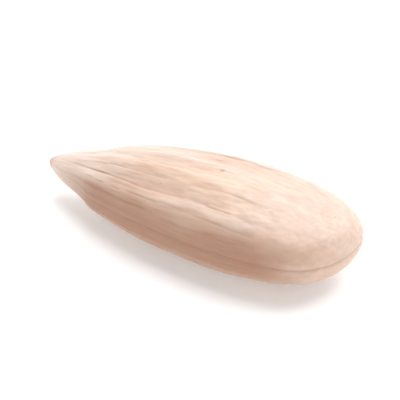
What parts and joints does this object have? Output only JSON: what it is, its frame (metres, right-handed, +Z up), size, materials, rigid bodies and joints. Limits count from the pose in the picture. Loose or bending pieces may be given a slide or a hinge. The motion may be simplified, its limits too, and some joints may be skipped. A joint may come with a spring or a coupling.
{
  "type": "hulled sunflower seed",
  "caption": "Hulled sunflower seed: a plump flattened teardrop with a pointed root tip, a blunt end, a low keel on each broad face and a fine seam round its thin edge.",
  "frame": {"origin": "on the surface that the seed lies on, under the middle of its box", "axes": "+X along the seed, from its pointed root tip to its blunt end; +Y across the broad face; +Z up, through the thickness"},
  "size_m": [0.011, 0.0044, 0.0026],
  "materials": {
    "seed_flesh": "matte, faintly oily"
  },
  "bodies": {
    "root": {"kernel": "seed_flesh"}
  },
  "joints": []
}
